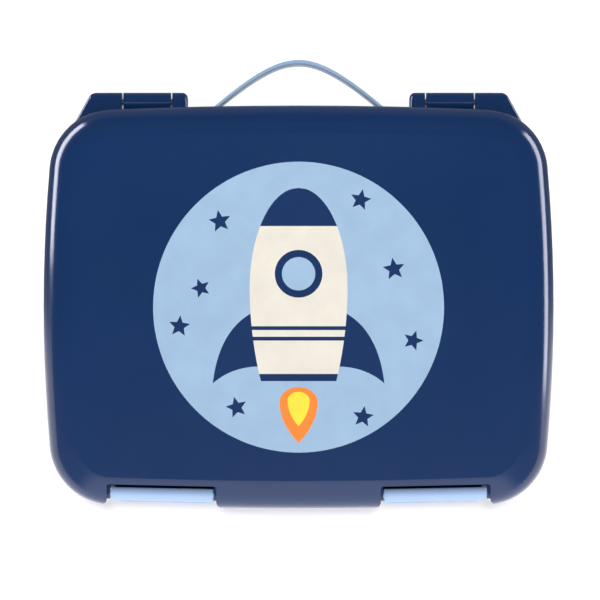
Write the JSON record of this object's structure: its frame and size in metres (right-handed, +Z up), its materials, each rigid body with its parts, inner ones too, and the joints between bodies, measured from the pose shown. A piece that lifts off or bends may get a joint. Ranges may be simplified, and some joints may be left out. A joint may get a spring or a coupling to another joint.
{
  "type": "bento lunch box",
  "caption": "Child's hinged bento lunch box with a compartment tray, sealed lid, front latches and a soft carry strap, lying flat.",
  "frame": {"origin": "centre of the flat foot under the base", "axes": "+Z up out of the lid, +Y to the hinges and the carry strap, +X to the right seen from the latches"},
  "size_m": [0.216, 0.192, 0.058],
  "materials": {
    "shell": "glossy",
    "accent": "satin",
    "strap": "matte",
    "seal": "satin",
    "tray": "glossy",
    "liner": "satin",
    "label": "satin print",
    "steel": "brushed"
  },
  "bodies": {
    "base": {"base_shell": "shell", "compartment_tray": "tray", "handle_pin_left": "steel", "handle_pin_right": "steel"},
    "lid": {"lid_shell": "shell", "lid_label": "label", "lid_liner": "liner", "rim_gasket": "seal", "divider_seal": "seal", "hinge_pin_left": "steel", "hinge_pin_right": "steel"},
    "latch_left": {"latch_left": "accent"},
    "latch_right": {"latch_right": "accent"},
    "handle": {"handle_strap": "strap"}
  },
  "joints": [
    {"name": "lid_hinge", "type": "hinge", "parent": "base", "child": "lid", "pos_m": [0, 0.0877, 0.033], "axis": [-1, 0, 0], "range_deg": [0, 110]},
    {"name": "latch_left_pivot", "type": "hinge", "parent": "lid", "child": "latch_left", "pos_m": [-0.05759, -0.0791, 0.05], "axis": [-0.9998, 0.0209, 0], "range_deg": [0, 110]},
    {"name": "latch_right_pivot", "type": "hinge", "parent": "lid", "child": "latch_right", "pos_m": [0.05759, -0.0791, 0.05], "axis": [-0.9998, -0.0209, 0], "range_deg": [0, 110]},
    {"name": "handle_flex", "type": "slide", "parent": "base", "child": "handle", "axis": [0, -1, 0], "range_m": [0, 0.014], "stiffness_N_per_m": 300, "deforming": ["handle_strap"]}
  ]
}
